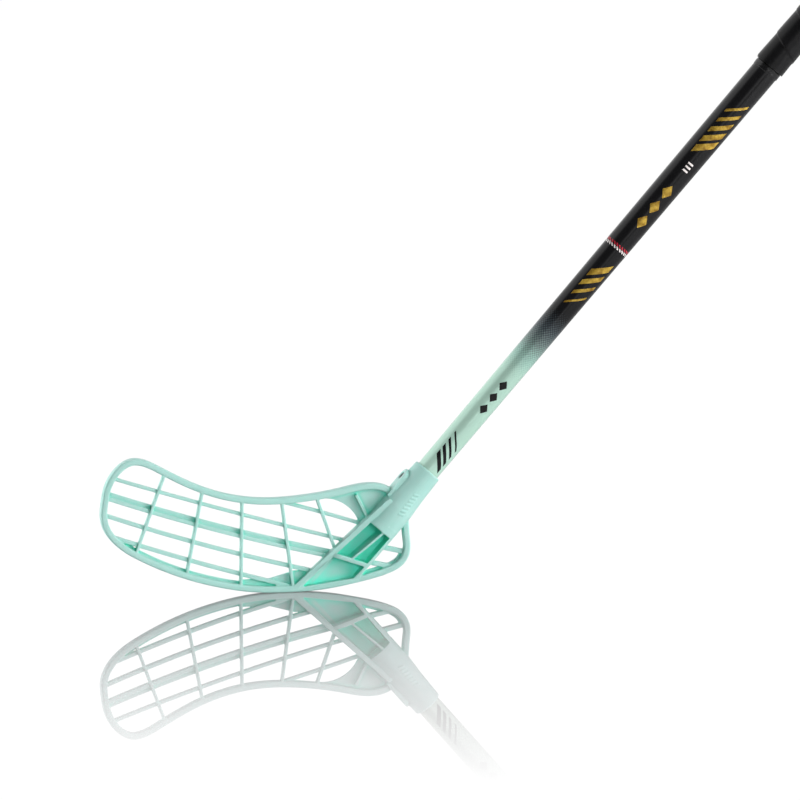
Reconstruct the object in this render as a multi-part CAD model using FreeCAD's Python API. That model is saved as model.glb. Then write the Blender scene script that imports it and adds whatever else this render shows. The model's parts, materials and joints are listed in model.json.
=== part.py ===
import FreeCAD, Part
import math
import os
from FreeCAD import Base
from FreeCAD import Vector

# Driving dimensions, lengths in millimetres and angles in degrees

LIE_ANGLE = 48.9              # shaft above the floor, blade standing on its sole

BLADE_LENGTH = 296.0          # toe to heel
BLADE_HEIGHT = 132.5          # sole to the top of the toe
BLADE_DEPTH = 10.0            # rim, front to back
BLADE_CURVE_RADIUS = 1300.0   # plan curve of the blade, hollow side to the front
BLADE_EDGE_RADIUS = 1.7       # rounding of the rim's long edges
RIM_WIDTH = 6.2
SOLE_WIDTH = 8.6              # rim and ledge together along the sole
TOE_LEDGE_TOP = 58.0          # height up to which the ledge runs on the toe side
HEEL_LEDGE_TOP = 34.0         # and on the heel side
THIN_RIB_WIDTH = 3.1
LOW_RIB_WIDTH = 3.7           # long ribs below the middle one
RIDGE_RIB_WIDTH = 3.8         # front ridge of the middle rib
BACK_RIB_WIDTH = 8.0          # flat of the middle rib behind its ridge
CROSS_RIB_WIDTH = 2.7
HEEL_RIB_WIDTH = 4.4
RIB_FRONT_SET_BACK = 2.6      # long ribs, behind the rim's front
RIB_BACK_SET_BACK = 0.5       # long ribs, before the rim's back
CROSS_FRONT_SET_BACK = 0.5    # cross ribs stand proud of the long ribs
CROSS_DEPTH = 6.2
FLAT_FRONT_SET_BACK = 5.4     # ledges, webs and flats, behind the rim's front
WEB_DEPTH = 3.2

COLLAR_REACH = 146.6          # floor to the hosel's mouth, along the shaft
HOSEL_LENGTH = 71.6           # round part of the hosel
COLLAR_RADIUS = 13.7
HOSEL_WAIST_RADIUS = 14.7
FOOT_RADIUS = 16.2            # hosel where the tube ends
COLLAR_WAIST_DROP = 26.0      # mouth to the waist
COLLAR_FOOT_DROP = 45.0       # mouth to the full radius
COLLAR_CHAMFER = 0.8
FOOT_SOLE_DEPTH = 10.4        # hosel foot at the sole, front to back
FOOT_SOLE_CORNER = 2.6
FOOT_ROUND_FLAT = 1.0         # flat left between the round corners under the tube
FOOT_OVERLAP = 8.0            # foot runs up into the tube
FOOT_SOLE_RISE = 1.9          # foot's underside above the sole
FOOT_SWELL_START = 12.0       # height up to which the foot is as deep as at the sole
FOOT_SWELL_END = 54.0         # height at which it is as deep as the tube
POCKET_UPPER_FLOOR = 5.5      # pockets' floor behind the shaft axis, under the tube
POCKET_LOWER_FLOOR = 1.6      # pockets' floor behind the shaft axis, at the sole
WALL_WIDTH = 4.6              # raised bar on the toe side of the hosel
WALL_FRONT = 13.2             # bar's front at its upper end, from the shaft axis

BOSS_WIDTH = 16.0             # pad that the screw sits in
BOSS_RISE = 1.9               # pad above the waist
BOSS_TOP_DROP = 11.6          # mouth to the pad's upper end
BOSS_FOOT_DROP = 42.0         # mouth to the pad's lower end
SCREW_DROP = 19.4             # mouth to the screw's axis
SCREW_HEAD_DIAMETER = 7.4
SCREW_HEAD_HEIGHT = 2.7
SCREW_HEAD_SET_IN = 0.5       # head below the pad
SCREW_SHANK_DIAMETER = 4.0
SCREW_SHANK_LENGTH = 9.6
SCREW_TIP_LENGTH = 2.0
SCREW_TIP_DIAMETER = 1.2
SCREW_CLEARANCE = 0.15        # around head and shank
SCREW_SEAT_GAP = 0.1          # under the head
RECESS_LENGTH = 4.4
RECESS_WIDTH = 1.1
RECESS_DEPTH = 1.6

SHAFT_LENGTH = 870.0
SHAFT_TIP_DIAMETER = 22.4
SHAFT_TOP_DIAMETER = 26.2
SHAFT_WALL = 1.6
SOCKET_DEPTH = 66.0           # shaft inside the hosel
SOCKET_CLEARANCE = 0.1
BARE_LENGTH = 492.0           # hosel's mouth to the grip
TAPER_MARGIN = 14.0           # straight shaft left below the grip

GRIP_THICKNESS = 2.1
GRIP_PITCH = 28.0             # one turn of the wrap
GRIP_SEAM_GAP = 0.5           # between neighbouring turns
GLUE_GAP = 0.1
BAND_LENGTH = 6.5             # finishing tape under the grip
BAND_THICKNESS = 0.6
BAND_GRIP_GAP = 0.3

CAP_HEAD_DIAMETER = 29.8
CAP_HEAD_LENGTH = 7.0
CAP_HEAD_ROUND = 2.2
CAP_SEAT_GAP = 0.3            # head above the shaft's end
CAP_PLUG_LENGTH = 30.0
CAP_PLUG_CLEARANCE = 0.08
CAP_PLUG_WALL = 2.4
CAP_PLUG_CHAMFER = 1.5

OVERRUN = 4.0                 # how far cutting shapes run past what they cut
DEPTH_REACH = 40.0            # half depth of shapes before they are cut to depth
AS_DRAWN = 1                  # ruled surfaces join edges in the directions these were drawn

# Shares of the blade's length, from the toe, and of its height, from the sole

AXIS_SHARE = 0.733            # shaft axis meets the floor here
CURVE_START_SHARE = 0.74      # blade is straight from here to the heel

OUTLINE_SHARES = [
    (0.000, 0.645), (0.013, 0.490), (0.066, 0.357), (0.131, 0.268), (0.262, 0.138),
    (0.392, 0.052), (0.520, 0.007), (0.6, 0.002), (0.7126, 0.012), (0.840, 0.060),
    (0.930, 0.114), (0.978, 0.176), (1.000, 0.276), (0.998, 0.380), (0.995, 0.489),
    (0.975, 0.633), (0.930, 0.732), (0.876, 0.760), (0.776, 0.727), (0.6487, 0.6855),
    (0.555, 0.676), (0.456, 0.697), (0.327, 0.782), (0.197, 0.929), (0.142, 0.987),
    (0.1045, 0.998), (0.0528, 0.941), (0.013, 0.804),
]

THIN_RIB_SHARES = [
    [(0.585, 0.646), (0.744, 0.542), (0.860, 0.458)],
    [(0.015, 0.884), (0.359, 0.634), (0.815, 0.342)],
]
LOW_RIB_SHARES = [
    [(0.005, 0.615), (0.359, 0.346), (0.705, 0.137)],
    [(0.040, 0.449), (0.327, 0.230), (0.622, 0.040)],
]
MIDDLE_RIB_SHARES = [(0.005, 0.757), (0.359, 0.492), (0.765, 0.252)]
CROSS_RIB_SHARES = [
    [(0.212, 0.893), (0.113, 0.312)],
    [(0.333, 0.752), (0.278, 0.124)],
    [(0.461, 0.684), (0.457, 0.022)],
    [(0.588, 0.659), (0.626, 0.022)],
    [(0.703, 0.652), (0.762, 0.282)],
    [(0.826, 0.680), (0.864, 0.512)],
]
HEEL_RIB_SHARES = [
    [(0.900, 0.304), (0.988, 0.258)],
    [(0.845, 0.205), (0.960, 0.150)],
]
UPPER_WEB_SHARES = [(0.700, 0.650), (0.796, 0.604), (0.840, 0.470)]
UPPER_WEB_CORNER_SHARES = [(0.940, 0.560), (0.960, 0.800), (0.776, 0.800), (0.700, 0.720)]
LOWER_WEB_SHARES = [
    [(0.462, 0.098), (0.553, 0.100), (0.622, 0.040), (0.600, 0.025), (0.462, 0.040)],
    [(0.550, 0.100), (0.633, 0.150), (0.672, 0.142), (0.645, 0.025), (0.600, 0.025)],
]

# Shares of the collar's reach, up the shaft from the floor, and of the foot's radius, across it

WALL_SHARES = [(0.690, -0.747), (-0.130, -1.610)]
FOOT_SOLE_SHARES = (-0.180, -1.700, 0.900)
POCKET_SHARES = [
    [(0.512, -0.760), (0.512, 0.075), (0.262, -0.265), (0.222, -1.080)],
    [(0.512, 0.220), (0.512, 0.690), (0.300, 0.690), (0.265, -0.125)],
    [(0.192, -1.110), (0.272, 0.690), (0.172, 0.690), (-0.078, -1.300)],
]

# Values worked out from the driving dimensions

LIE = math.radians(LIE_ANGLE)
UP_SHAFT = Vector(math.cos(LIE), 0, math.sin(LIE))
ACROSS = Vector(math.sin(LIE), 0, -math.cos(LIE))
DEPTH = Vector(0, 1, 0)
FRONT = -BLADE_DEPTH / 2
BACK = BLADE_DEPTH / 2
SHAFT_START = COLLAR_REACH - SOCKET_DEPTH
SHAFT_END = SHAFT_START + SHAFT_LENGTH
GRIP_START = COLLAR_REACH + BARE_LENGTH
GRIP_LENGTH = SHAFT_END - GRIP_START
GRIP_MIDDLE = GRIP_START + GRIP_LENGTH / 2
GRIP_INNER_RADIUS = SHAFT_TOP_DIAMETER / 2 + GLUE_GAP
GRIP_OUTER_RADIUS = GRIP_INNER_RADIUS + GRIP_THICKNESS
BOSS_LEVEL = HOSEL_WAIST_RADIUS + BOSS_RISE
SCREW_HEAD_TOP = BOSS_LEVEL - SCREW_HEAD_SET_IN
SCREW_SEAT = SCREW_HEAD_TOP - SCREW_HEAD_HEIGHT


def blade_point(share):
    """Point in the blade's plane from shares of its length and height."""
    along, up = share
    return Vector((along - AXIS_SHARE) * BLADE_LENGTH, 0, up * BLADE_HEIGHT)


def stick_point(along, across, depth=0):
    """Point from lengths up the shaft from the floor, across it and to the back."""
    return UP_SHAFT * along + ACROSS * across + DEPTH * depth


def hosel_point(share):
    """Point in the blade's plane from shares of the collar's reach and the foot's radius."""
    along, across = share
    return stick_point(along * COLLAR_REACH, across * FOOT_RADIUS)


def outline_face(inset=0):
    """Blade inside its outer edge, or inside a like curve set in from the edge."""
    points = [blade_point(share) for share in OUTLINE_SHARES]
    edge = Part.BSplineCurve()
    edge.interpolate(points, PeriodicFlag=True)
    inward = [Vector(*edge.tangent(edge.parameter(point))[0]).cross(DEPTH) for point in points]
    curve = Part.BSplineCurve()
    curve.interpolate([point + side * inset for point, side in zip(points, inward)], PeriodicFlag=True)
    return Part.Face(Part.Wire(curve.toShape()))


def polygon(points):
    return Part.Face(Part.makePolygon(points + points[:1]))


def straight_bar(start, end, width):
    """Flat bar between two points of the blade's plane."""
    along = (end - start).normalize()
    side = along.cross(DEPTH) * (width / 2)
    return polygon([start + side, end + side, end - side, start - side])


def curved_bar(start, middle, end, width, shift=0):
    """Flat bar along an arc through three points, moved sideways by shift."""
    circle = Part.Arc(start, middle, end).toShape().Curve
    centre = circle.Center

    def on_arc(point, offset):
        return centre + (point - centre) * ((circle.Radius + offset) / circle.Radius)

    outer = [on_arc(point, shift + width / 2) for point in (start, middle, end)]
    inner = [on_arc(point, shift - width / 2) for point in (end, middle, start)]
    edges = [
        Part.Arc(*outer).toShape(),
        Part.makeLine(outer[-1], inner[0]),
        Part.Arc(*inner).toShape(),
        Part.makeLine(inner[-1], outer[0]),
    ]
    return Part.Face(Part.Wire(edges))


def prism(face):
    """Face of the blade's plane carried through the full depth."""
    moved = face.copy()
    moved.translate(DEPTH * -DEPTH_REACH)
    return moved.extrude(DEPTH * (2 * DEPTH_REACH))


def curved_slab(front, back):
    """All that lies between two depths of the curved blade."""
    start = (CURVE_START_SHARE - AXIS_SHARE) * BLADE_LENGTH
    heel = BLADE_LENGTH
    sweep = math.asin((AXIS_SHARE * BLADE_LENGTH + start + OVERRUN) / BLADE_CURVE_RADIUS)

    def bend(depth, angle):
        radius = BLADE_CURVE_RADIUS + depth
        return Vector(
            start - radius * math.sin(angle),
            radius * math.cos(angle) - BLADE_CURVE_RADIUS,
            -OVERRUN,
        )

    behind = [bend(back, angle) for angle in (0, sweep / 2, sweep)]
    before = [bend(front, angle) for angle in (sweep, sweep / 2, 0)]
    heel_behind = Vector(heel, back, -OVERRUN)
    heel_before = Vector(heel, front, -OVERRUN)
    edges = [
        Part.makeLine(heel_behind, behind[0]),
        Part.Arc(*behind).toShape(),
        Part.makeLine(behind[-1], before[0]),
        Part.Arc(*before).toShape(),
        Part.makeLine(before[-1], heel_before),
        Part.makeLine(heel_before, heel_behind),
    ]
    plan = Part.Face(Part.Wire(edges))
    return plan.extrude(Vector(0, 0, BLADE_HEIGHT + 2 * OVERRUN))


def at_depth(faces, front, back):
    """Flat shapes of the blade's plane, ended inside the rim, as solids between two depths."""
    room = curved_slab(front, back).common(prism(outline_face(RIM_WIDTH / 2)))
    return [prism(face).common(room) for face in faces]


def blade_rim():
    """Rounded rim all round the blade, with the ledge along its sole."""
    whole = prism(outline_face())
    rim = whole.common(curved_slab(FRONT, BACK)).cut(prism(outline_face(RIM_WIDTH)))
    long_edges = [edge for edge in rim.Edges if edge.Length > 2 * BLADE_DEPTH]
    rim = rim.makeFillet(BLADE_EDGE_RADIUS, long_edges)
    ledge = prism(outline_face(RIM_WIDTH / 2)).cut(prism(outline_face(SOLE_WIDTH)))
    ledge = ledge.common(curved_slab(FRONT + FLAT_FRONT_SET_BACK, BACK - BLADE_EDGE_RADIUS))
    corner = Vector(0, -DEPTH_REACH, -OVERRUN)
    toe_side = Part.makeBox(
        BLADE_LENGTH, 2 * DEPTH_REACH, TOE_LEDGE_TOP + OVERRUN, corner - Vector(BLADE_LENGTH, 0, 0),
    )
    heel_side = Part.makeBox(BLADE_LENGTH, 2 * DEPTH_REACH, HEEL_LEDGE_TOP + OVERRUN, corner)
    return [rim, ledge.common(toe_side), ledge.common(heel_side)]


def blade_lattice():
    """Long ribs, cross ribs and heel ribs of the blade."""
    rib_front = FRONT + RIB_FRONT_SET_BACK
    rib_back = BACK - RIB_BACK_SET_BACK
    flat_front = FRONT + FLAT_FRONT_SET_BACK
    cross_front = FRONT + CROSS_FRONT_SET_BACK
    thin = [curved_bar(*map(blade_point, row), THIN_RIB_WIDTH) for row in THIN_RIB_SHARES]
    low = [curved_bar(*map(blade_point, row), LOW_RIB_WIDTH) for row in LOW_RIB_SHARES]
    heel = [straight_bar(*map(blade_point, row), HEEL_RIB_WIDTH) for row in HEEL_RIB_SHARES]
    cross = [straight_bar(*map(blade_point, row), CROSS_RIB_WIDTH) for row in CROSS_RIB_SHARES]
    middle = [blade_point(share) for share in MIDDLE_RIB_SHARES]
    ridge = curved_bar(*middle, RIDGE_RIB_WIDTH, (BACK_RIB_WIDTH - RIDGE_RIB_WIDTH) / 2)
    flat = curved_bar(*middle, BACK_RIB_WIDTH)
    solids = at_depth(thin + low + heel + [ridge], rib_front, rib_back)
    solids += at_depth([flat], flat_front, rib_back)
    solids += at_depth(cross, cross_front, cross_front + CROSS_DEPTH)
    return solids


def blade_webs():
    """Thin panels beside the hosel and along the sole."""
    start, middle, end = [blade_point(share) for share in UPPER_WEB_SHARES]
    corner = [blade_point(share) for share in UPPER_WEB_CORNER_SHARES]
    free_edge = Part.Arc(start, middle, end).toShape()
    upper = Part.Face(Part.Wire([free_edge] + Part.makePolygon([end] + corner + [start]).Edges))
    lower = [polygon([blade_point(share) for share in row]) for row in LOWER_WEB_SHARES]
    web_front = FRONT + FLAT_FRONT_SET_BACK
    return at_depth([upper] + lower, web_front, web_front + WEB_DEPTH)


def hosel_tube():
    """Round outside of the hosel, wider toward its foot."""
    profile = [
        (0, COLLAR_REACH),
        (COLLAR_RADIUS - COLLAR_CHAMFER, COLLAR_REACH),
        (COLLAR_RADIUS, COLLAR_REACH - COLLAR_CHAMFER),
        (HOSEL_WAIST_RADIUS, COLLAR_REACH - COLLAR_WAIST_DROP),
        (FOOT_RADIUS, COLLAR_REACH - COLLAR_FOOT_DROP),
        (FOOT_RADIUS, COLLAR_REACH - HOSEL_LENGTH),
        (0, COLLAR_REACH - HOSEL_LENGTH),
    ]
    face = polygon([stick_point(along, radius) for radius, along in profile])
    return face.revolve(Vector(0, 0, 0), UP_SHAFT, 360)


def round_section(along, left, right, half_depth, corner):
    """Rounded rectangle square to the shaft, as a wire."""
    turn = math.sqrt(0.5)
    middles = [
        (right - corner, half_depth - corner, 1, 1),
        (left + corner, half_depth - corner, -1, 1),
        (left + corner, corner - half_depth, -1, -1),
        (right - corner, corner - half_depth, 1, -1),
    ]
    arcs = []
    for across, depth, side, face in middles:
        first = stick_point(along, across + side * corner, depth)
        bend = stick_point(along, across + side * corner * turn, depth + face * corner * turn)
        last = stick_point(along, across, depth + face * corner)
        ends = (first, bend, last) if side * face > 0 else (last, bend, first)
        arcs.append(ends)
    edges = []
    for place, ends in enumerate(arcs):
        edges.append(Part.Arc(*ends).toShape())
        edges.append(Part.makeLine(ends[-1], arcs[(place + 1) % len(arcs)][0]))
    return Part.Wire(edges)


def hosel_foot():
    """Foot that carries the tube into the sole."""
    lower, left, right = FOOT_SOLE_SHARES
    upper = COLLAR_REACH - HOSEL_LENGTH + FOOT_OVERLAP
    corner = FOOT_RADIUS - FOOT_ROUND_FLAT / 2
    sections = [
        round_section(upper, -FOOT_RADIUS, FOOT_RADIUS, FOOT_RADIUS, corner),
        round_section(
            lower * COLLAR_REACH, left * FOOT_RADIUS, right * FOOT_RADIUS,
            FOOT_SOLE_DEPTH / 2, FOOT_SOLE_CORNER,
        ),
    ]
    return Part.makeLoft(sections, True, True).common(foot_envelope()).cut(below_sole())


def foot_envelope():
    """Space that the foot keeps to, as deep as the rim low down and as the tube higher up."""
    sole = FOOT_SOLE_DEPTH / 2
    full = FOOT_RADIUS + FOOT_ROUND_FLAT
    half = [(sole, -DEPTH_REACH), (sole, FOOT_SWELL_START), (full, FOOT_SWELL_END), (full, COLLAR_REACH)]
    corners = half + [(-depth, level) for depth, level in reversed(half)]
    face = polygon([Vector(-BLADE_LENGTH, depth, level) for depth, level in corners])
    return face.extrude(Vector(2 * BLADE_LENGTH, 0, 0))


def foot_pockets():
    """Hollows in the front of the foot, down to a slanted floor."""
    upper = COLLAR_REACH - HOSEL_LENGTH + FOOT_OVERLAP
    lower = FOOT_SOLE_SHARES[0] * COLLAR_REACH
    corners = [
        stick_point(upper, -DEPTH_REACH, -DEPTH_REACH),
        stick_point(upper, -DEPTH_REACH, POCKET_UPPER_FLOOR),
        stick_point(lower, -DEPTH_REACH, POCKET_LOWER_FLOOR),
        stick_point(lower, -DEPTH_REACH, -DEPTH_REACH),
    ]
    before_floor = polygon(corners).extrude(ACROSS * (2 * DEPTH_REACH))
    faces = [polygon([hosel_point(share) for share in row]) for row in POCKET_SHARES]
    return [prism(face).common(before_floor) for face in faces]


def hosel_wall():
    """Raised bar on the toe side of the hosel, round at its upper end."""
    start, end = [hosel_point(share) for share in WALL_SHARES]
    bar = straight_bar(start, end, WALL_WIDTH)
    end_disc = Part.Face(Part.Wire(Part.makeCircle(WALL_WIDTH / 2, start, DEPTH)))
    upper = WALL_SHARES[0][0] * COLLAR_REACH + WALL_WIDTH
    lower = WALL_SHARES[1][0] * COLLAR_REACH - WALL_WIDTH
    corners = [
        stick_point(upper, -DEPTH_REACH, -WALL_FRONT),
        stick_point(upper, -DEPTH_REACH, 0),
        stick_point(lower, -DEPTH_REACH, 0),
        stick_point(lower, -DEPTH_REACH, FRONT),
    ]
    depth = polygon(corners).extrude(ACROSS * (2 * DEPTH_REACH))
    wall = prism(bar.fuse(end_disc).removeSplitter()).common(depth)
    return wall.cut(below_sole())


def below_sole():
    """Space under and beside the foot, a little inside the blade's sole."""
    space = Part.makeBox(
        2 * BLADE_LENGTH, 2 * DEPTH_REACH, 2 * DEPTH_REACH,
        Vector(-BLADE_LENGTH, -DEPTH_REACH, -DEPTH_REACH),
    )
    return space.cut(prism(outline_face(FOOT_SOLE_RISE)))


def screw_boss():
    """Pad on the toe side of the hosel that the screw sits in."""
    half = BOSS_WIDTH / 2
    top = COLLAR_REACH - BOSS_TOP_DROP
    bottom = COLLAR_REACH - BOSS_FOOT_DROP
    corners = [
        stick_point(top - half, 0, -half),
        stick_point(top, 0, 0),
        stick_point(top - half, 0, half),
        stick_point(bottom, 0, half),
        stick_point(bottom, 0, -half),
    ]
    edges = [Part.Arc(*corners[:3]).toShape()]
    edges += Part.makePolygon(corners[2:] + corners[:1]).Edges
    return Part.Face(Part.Wire(edges)).extrude(ACROSS * -BOSS_LEVEL)


def round_bar(along, across, radius, length, direction):
    return Part.makeCylinder(radius, length, stick_point(along, across), direction)


def screw_hole():
    """Pocket for the screw's head and the hole for its shank."""
    along = COLLAR_REACH - SCREW_DROP
    shank = SCREW_SHANK_DIAMETER / 2 + SCREW_CLEARANCE
    head = SCREW_HEAD_DIAMETER / 2 + SCREW_CLEARANCE
    hole = round_bar(along, 0, shank, BOSS_LEVEL, ACROSS * -1)
    seat = SCREW_SEAT - SCREW_SEAT_GAP
    pocket = round_bar(along, -seat, head, BOSS_LEVEL - seat + OVERRUN, ACROSS * -1)
    return hole.fuse(pocket)


def make_blade():
    """Moulded blade with its hosel, one piece."""
    solids = blade_rim() + blade_lattice() + blade_webs()
    solids += [hosel_tube(), hosel_foot(), hosel_wall(), screw_boss()]
    blade = solids[0].multiFuse(solids[1:])
    bore = SHAFT_TIP_DIAMETER / 2 + SOCKET_CLEARANCE
    blade = blade.cut(round_bar(SHAFT_START, 0, bore, SOCKET_DEPTH + OVERRUN, UP_SHAFT))
    return blade.cut([screw_hole()] + foot_pockets()).Solids[0]


def make_screw():
    """Screw that holds the blade, with a crossed recess."""
    along = COLLAR_REACH - SCREW_DROP
    neck = SCREW_SEAT - SCREW_SHANK_LENGTH + SCREW_TIP_LENGTH
    profile = [
        (0, SCREW_HEAD_TOP),
        (SCREW_HEAD_DIAMETER / 2, SCREW_HEAD_TOP),
        (SCREW_HEAD_DIAMETER / 2, SCREW_SEAT),
        (SCREW_SHANK_DIAMETER / 2, SCREW_SEAT),
        (SCREW_SHANK_DIAMETER / 2, neck),
        (SCREW_TIP_DIAMETER / 2, neck - SCREW_TIP_LENGTH),
        (0, neck - SCREW_TIP_LENGTH),
    ]
    face = polygon([stick_point(along + radius, -level) for radius, level in profile])
    screw = face.revolve(stick_point(along, 0), ACROSS, 360)
    for length, width in ((RECESS_LENGTH, RECESS_WIDTH), (RECESS_WIDTH, RECESS_LENGTH)):
        corners = [
            stick_point(along + side * length / 2, RECESS_DEPTH - SCREW_HEAD_TOP, face * width / 2)
            for side, face in ((-1, -1), (1, -1), (1, 1), (-1, 1))
        ]
        screw = screw.cut(polygon(corners).extrude(ACROSS * -(RECESS_DEPTH + OVERRUN)))
    return screw


def make_shaft():
    """Hollow tapered shaft with the screw's hole near its tip."""
    tip = SHAFT_TIP_DIAMETER / 2
    top = SHAFT_TOP_DIAMETER / 2
    taper_end = GRIP_START - TAPER_MARGIN
    outside = [(tip, SHAFT_START), (tip, COLLAR_REACH), (top, taper_end), (top, SHAFT_END)]
    inside = [(radius - SHAFT_WALL, along) for radius, along in reversed(outside)]
    face = polygon([stick_point(along, radius) for radius, along in outside + inside])
    shaft = face.revolve(Vector(0, 0, 0), UP_SHAFT, 360)
    return shaft.cut(screw_hole())


def along_shaft(shape, along):
    """Shape made on the Z axis, moved onto the shaft."""
    turn = FreeCAD.Rotation(Vector(0, 0, 1), UP_SHAFT)
    shape.Placement = FreeCAD.Placement(UP_SHAFT * along, turn)
    return shape


def half_turn_edges(surface, first_angle, start):
    """Edges of one half turn of the wrap on a round surface: low, last end, high, first end."""
    half = (GRIP_PITCH - GRIP_SEAM_GAP) / 2
    end = start + GRIP_PITCH / 2
    last_angle = first_angle + math.pi
    corners = [
        Base.Vector2d(first_angle, start - half),
        Base.Vector2d(last_angle, end - half),
        Base.Vector2d(last_angle, end + half),
        Base.Vector2d(first_angle, start + half),
    ]
    pairs = zip(corners, corners[1:] + corners[:1])
    return [Part.Geom2d.Line2dSegment(one, two).toShape(surface) for one, two in pairs]


def make_grip():
    """Wrap of the grip, one unbroken strip wound up the shaft and rising to the toe side in front."""
    surfaces = []
    for radius in (GRIP_OUTER_RADIUS, GRIP_INNER_RADIUS):
        surface = Part.Cylinder()
        surface.Radius = radius
        surfaces.append(surface)
    halves = 2 * math.ceil(GRIP_LENGTH / GRIP_PITCH) + 4
    faces = []
    for half in range(halves):
        angle = math.pi * (half % 2)
        start = GRIP_PITCH * (half / 2 - 1)
        outer, inner = [half_turn_edges(surface, angle, start) for surface in surfaces]
        faces += [Part.Face(surfaces[0], Part.Wire(outer)), Part.Face(surfaces[1], Part.Wire(inner))]
        sides = [0, 2]
        sides += [3] if half == 0 else []
        sides += [1] if half == halves - 1 else []
        faces += [Part.makeRuledSurface(outer[side], inner[side], AS_DRAWN) for side in sides]
    shell = Part.makeShell(faces)
    shell.sewShape()
    strip = Part.makeSolid(shell)
    strip = strip.common(Part.makeCylinder(GRIP_OUTER_RADIUS + OVERRUN, GRIP_LENGTH))
    return along_shaft(strip.Solids[0].mirror(Vector(0, 0, 0), DEPTH), GRIP_START)


def grip_gap(steps=48):
    """Least gap between neighbouring turns of the wrap, measured on points of its edges."""
    half = (GRIP_PITCH - GRIP_SEAM_GAP) / 2

    def edge(turn, side):
        points = []
        for step in range(2 * steps):
            angle = math.pi * step / steps
            rise = GRIP_PITCH * (turn + angle / (2 * math.pi)) + side * half
            points.append(Vector(
                GRIP_INNER_RADIUS * math.cos(angle), GRIP_INNER_RADIUS * math.sin(angle), rise,
            ))
        return points

    below = edge(0, 1)
    above = edge(1, -1)
    return min(low.distanceToPoint(high) for low in below for high in above)


def make_band():
    """Finishing tape round the shaft under the grip."""
    inner = SHAFT_TOP_DIAMETER / 2 + GLUE_GAP
    band = Part.makeCylinder(inner + BAND_THICKNESS, BAND_LENGTH)
    band = band.cut(Part.makeCylinder(inner, BAND_LENGTH))
    return along_shaft(band, GRIP_START - BAND_GRIP_GAP - BAND_LENGTH)


def make_cap():
    """End cap: a hollow plug in the shaft and a rounded head over its end."""
    head = CAP_HEAD_DIAMETER / 2
    plug = SHAFT_TOP_DIAMETER / 2 - SHAFT_WALL - CAP_PLUG_CLEARANCE
    top = CAP_SEAT_GAP + CAP_HEAD_LENGTH
    profile = [
        (0, CAP_SEAT_GAP), (plug - CAP_PLUG_WALL, CAP_SEAT_GAP),
        (plug - CAP_PLUG_WALL, -CAP_PLUG_LENGTH), (plug - CAP_PLUG_CHAMFER, -CAP_PLUG_LENGTH),
        (plug, CAP_PLUG_CHAMFER - CAP_PLUG_LENGTH), (plug, CAP_SEAT_GAP),
        (head, CAP_SEAT_GAP), (head, top), (0, top),
    ]
    face = polygon([Vector(radius, 0, level) for radius, level in profile])
    cap = face.revolve(Vector(0, 0, 0), Vector(0, 0, 1), 360)
    rounds = [
        edge for edge in cap.Edges
        if abs(edge.BoundBox.ZMin - top) < CAP_SEAT_GAP and edge.BoundBox.ZLength < CAP_SEAT_GAP
        and edge.Length > head
    ]
    cap = cap.makeFillet(CAP_HEAD_ROUND, rounds)
    return along_shaft(cap, SHAFT_END)


def main():
    os.makedirs("parts", exist_ok=True)
    nodes = {
        "blade": make_blade(),
        "blade_screw": make_screw(),
        "shaft": make_shaft(),
        "grip_wrap": make_grip(),
        "grip_finishing_tape": make_band(),
        "end_cap": make_cap(),
    }
    print("least gap between turns of the grip: %.3f mm" % grip_gap())
    for name, shape in nodes.items():
        shape.translate(UP_SHAFT * -GRIP_MIDDLE)
        box = shape.BoundBox
        print(
            "%s: %d solid, valid %s, %.1f cm3, x %.1f..%.1f y %.1f..%.1f z %.1f..%.1f"
            % (name, len(shape.Solids), shape.isValid(), shape.Volume / 1000,
               box.XMin, box.XMax, box.YMin, box.YMax, box.ZMin, box.ZMax)
        )
        shape.exportStep("parts/%s.step" % name)


main()
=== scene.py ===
import json
import math

import bmesh
import bpy
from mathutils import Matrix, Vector


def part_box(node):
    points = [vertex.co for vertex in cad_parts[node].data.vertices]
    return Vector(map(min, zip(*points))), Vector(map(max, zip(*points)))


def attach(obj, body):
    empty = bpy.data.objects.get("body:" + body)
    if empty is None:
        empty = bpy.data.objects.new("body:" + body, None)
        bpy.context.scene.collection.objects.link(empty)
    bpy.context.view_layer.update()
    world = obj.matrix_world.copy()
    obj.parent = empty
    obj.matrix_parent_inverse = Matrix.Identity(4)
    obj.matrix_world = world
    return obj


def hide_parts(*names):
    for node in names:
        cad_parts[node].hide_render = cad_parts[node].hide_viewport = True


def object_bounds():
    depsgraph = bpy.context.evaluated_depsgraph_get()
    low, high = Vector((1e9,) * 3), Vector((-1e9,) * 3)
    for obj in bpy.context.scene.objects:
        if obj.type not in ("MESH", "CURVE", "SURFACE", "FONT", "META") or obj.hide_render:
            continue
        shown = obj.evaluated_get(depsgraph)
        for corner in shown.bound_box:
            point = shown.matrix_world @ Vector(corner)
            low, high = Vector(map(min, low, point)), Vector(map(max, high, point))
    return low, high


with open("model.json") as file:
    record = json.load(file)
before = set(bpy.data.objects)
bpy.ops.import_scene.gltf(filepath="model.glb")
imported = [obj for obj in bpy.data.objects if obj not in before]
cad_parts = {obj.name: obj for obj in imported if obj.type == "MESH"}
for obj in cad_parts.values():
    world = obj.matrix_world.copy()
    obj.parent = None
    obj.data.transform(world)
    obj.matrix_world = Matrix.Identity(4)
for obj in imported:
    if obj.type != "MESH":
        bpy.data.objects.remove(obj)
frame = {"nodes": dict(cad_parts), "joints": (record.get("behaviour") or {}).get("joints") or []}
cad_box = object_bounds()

MM = 0.001

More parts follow.
